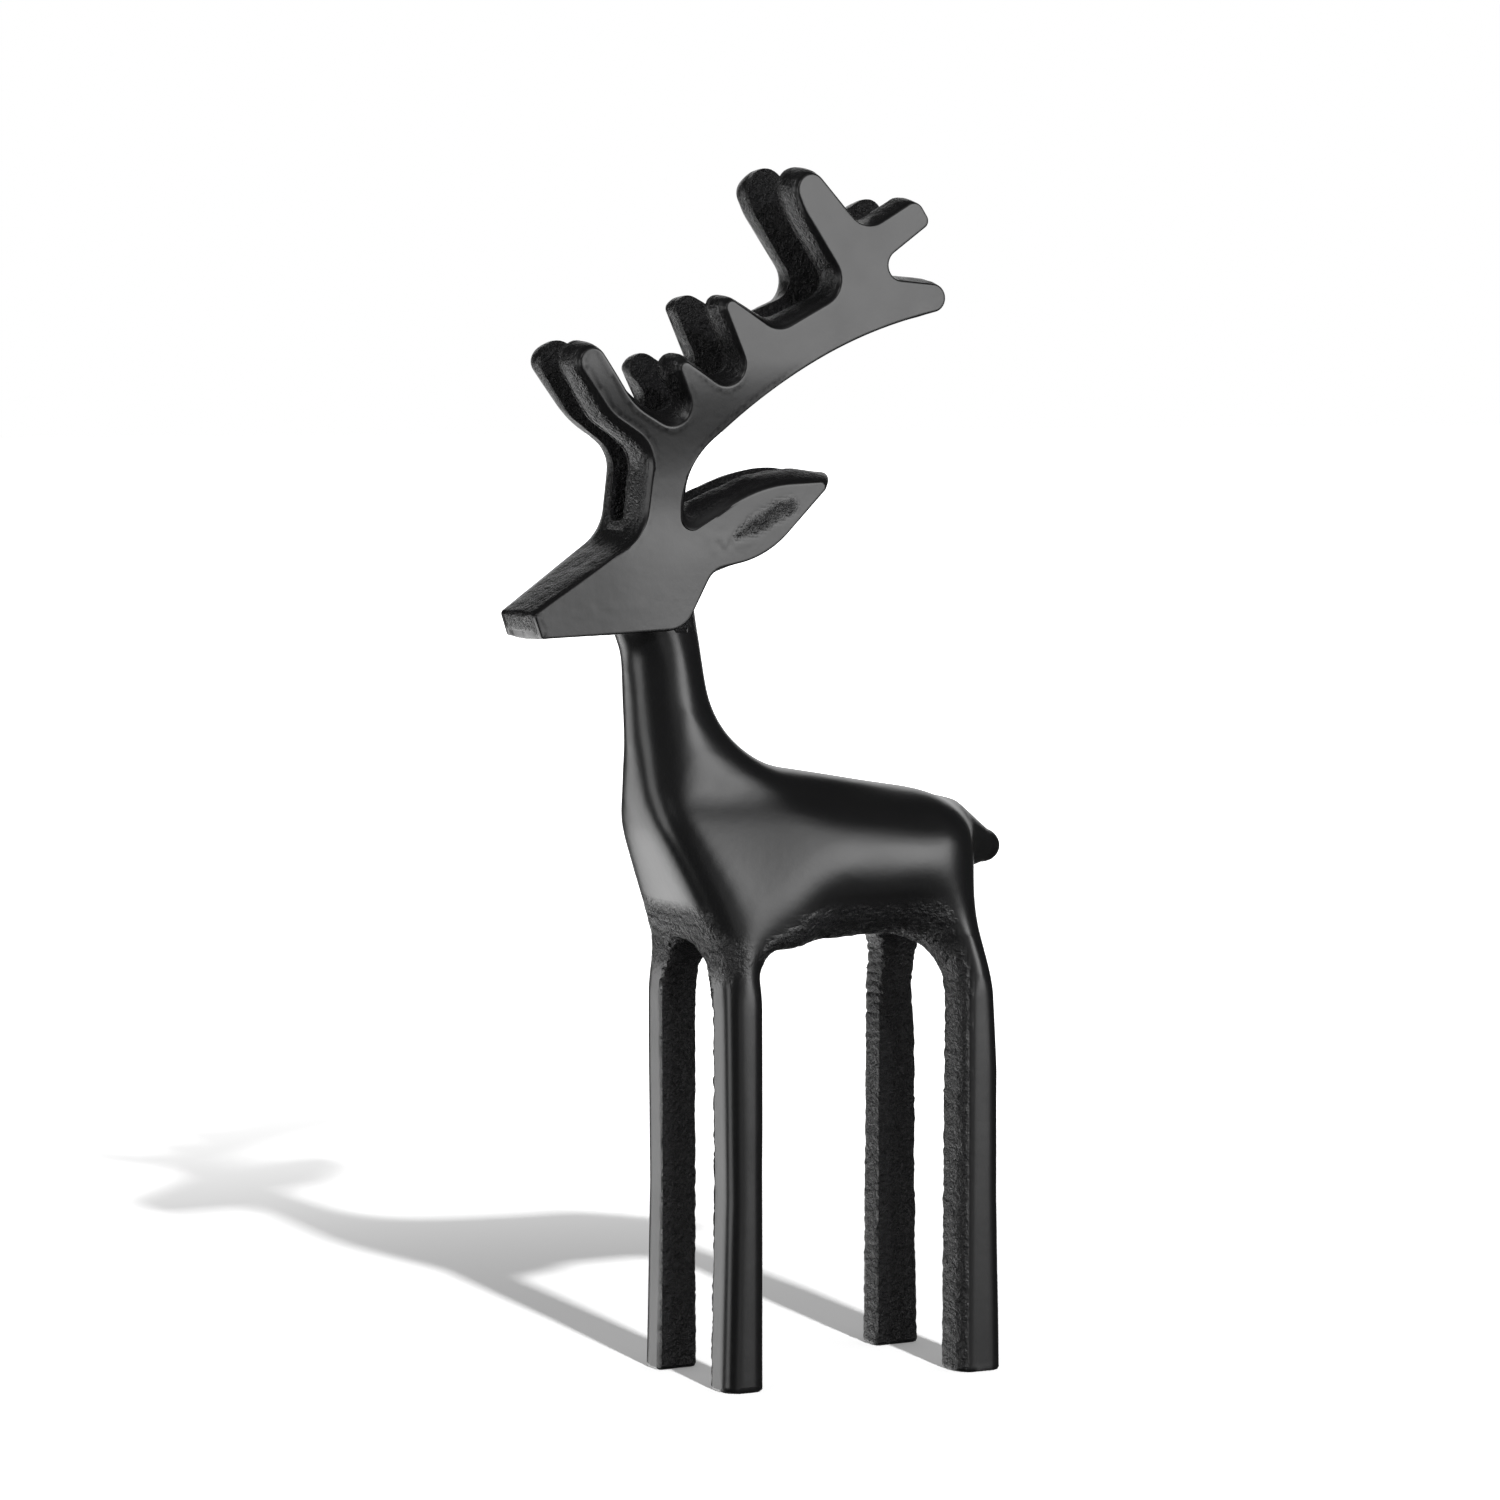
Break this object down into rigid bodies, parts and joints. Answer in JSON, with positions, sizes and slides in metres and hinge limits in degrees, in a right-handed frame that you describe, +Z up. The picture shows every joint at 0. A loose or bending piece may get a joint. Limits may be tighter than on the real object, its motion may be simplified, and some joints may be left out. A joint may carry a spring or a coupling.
{
  "type": "stag statue",
  "caption": "Slim standing stag with flat twin antlers of short blunt tines, long straight legs and a stub tail, cast in one piece of dark iron.",
  "frame": {"origin": "middle of the box on the ground under the soles", "axes": "+Z up, the stag looks towards -X, +Y across its stance through the plane of symmetry"},
  "size_m": [0.0913, 0.0358, 0.2017],
  "materials": {
    "black_cast_iron": "satin black lacquer over sand-cast iron, smooth on the outer faces and grainy between the antlers and the legs"
  },
  "bodies": {
    "root": {"stag_casting": "black_cast_iron"}
  },
  "joints": []
}
